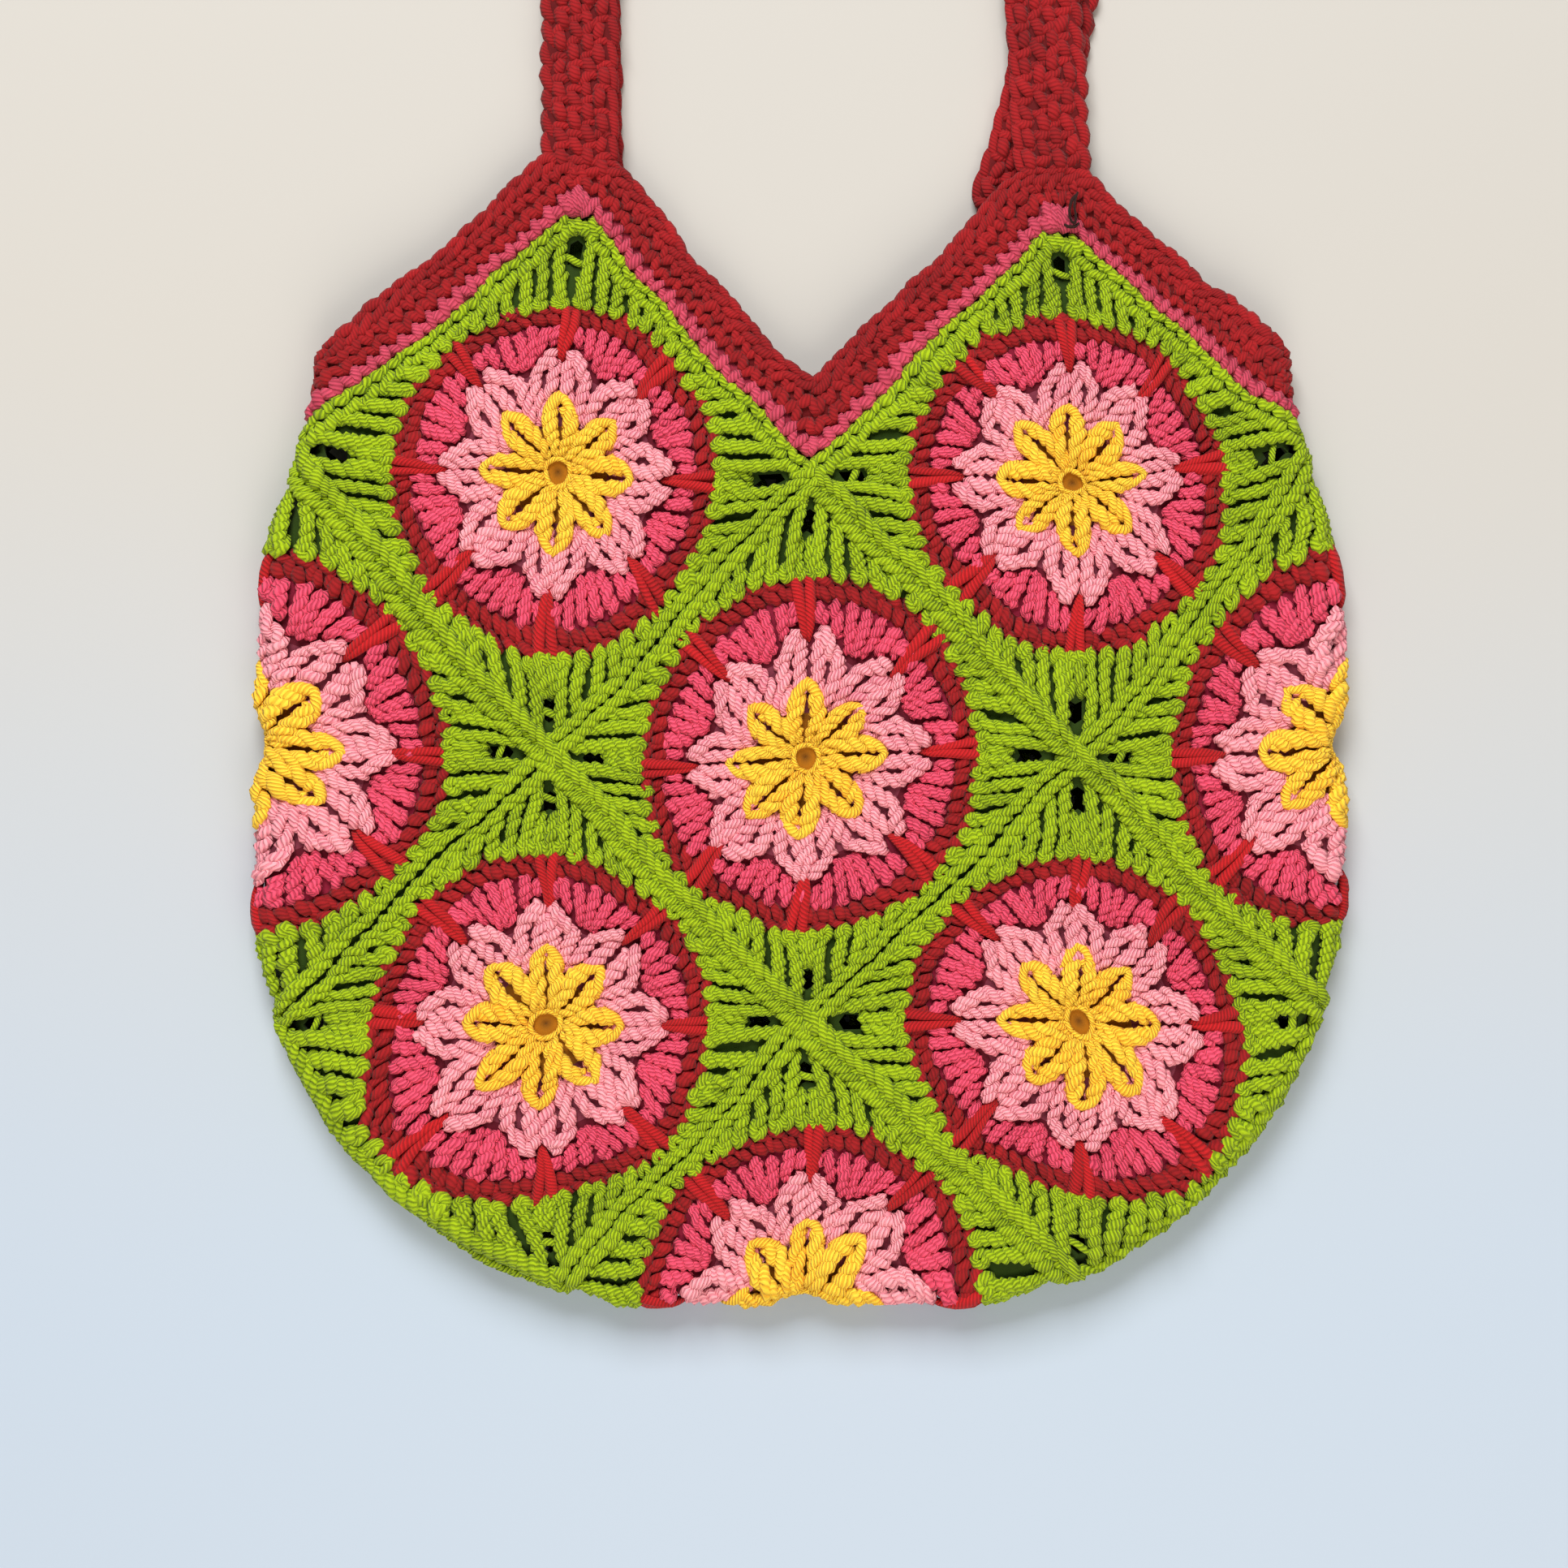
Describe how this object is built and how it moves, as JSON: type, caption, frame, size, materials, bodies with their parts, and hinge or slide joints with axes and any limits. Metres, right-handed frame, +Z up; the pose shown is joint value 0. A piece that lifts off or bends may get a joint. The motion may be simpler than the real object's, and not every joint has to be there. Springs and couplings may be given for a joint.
{
  "type": "crocheted shoulder bag",
  "caption": "Soft shoulder bag crocheted from flower squares set on point, with a zigzag edging round its open mouth and two long handles, lying flat on its back.",
  "frame": {"origin": "middle of the bounding box's underside, on the surface that the bag lies on", "axes": "+Z up out of the front of the lying bag, +Y from the bag's bottom towards the mouth and handles, +X to the right of the front"},
  "size_m": [0.3676, 0.6352, 0.0244],
  "materials": {
    "flower_squares": "matte crocheted cotton: yellow, pink and red flowers on green",
    "pink_edging": "matte crocheted cotton",
    "red_edging": "matte crocheted cotton",
    "red_handles": "matte crocheted cotton"
  },
  "bodies": {
    "root": {"square_front_top_left": "flower_squares", "square_front_top_right": "flower_squares", "square_front_middle": "flower_squares", "square_front_bottom_left": "flower_squares", "square_front_bottom_right": "flower_squares", "square_back_top_left": "flower_squares", "square_back_top_right": "flower_squares", "square_back_middle": "flower_squares", "square_back_bottom_left": "flower_squares", "square_back_bottom_right": "flower_squares", "square_side_left": "flower_squares", "square_side_right": "flower_squares", "square_bottom": "flower_squares", "edging_pink": "pink_edging", "edging_red": "red_edging", "handle_front": "red_handles", "handle_back": "red_handles"}
  },
  "joints": []
}
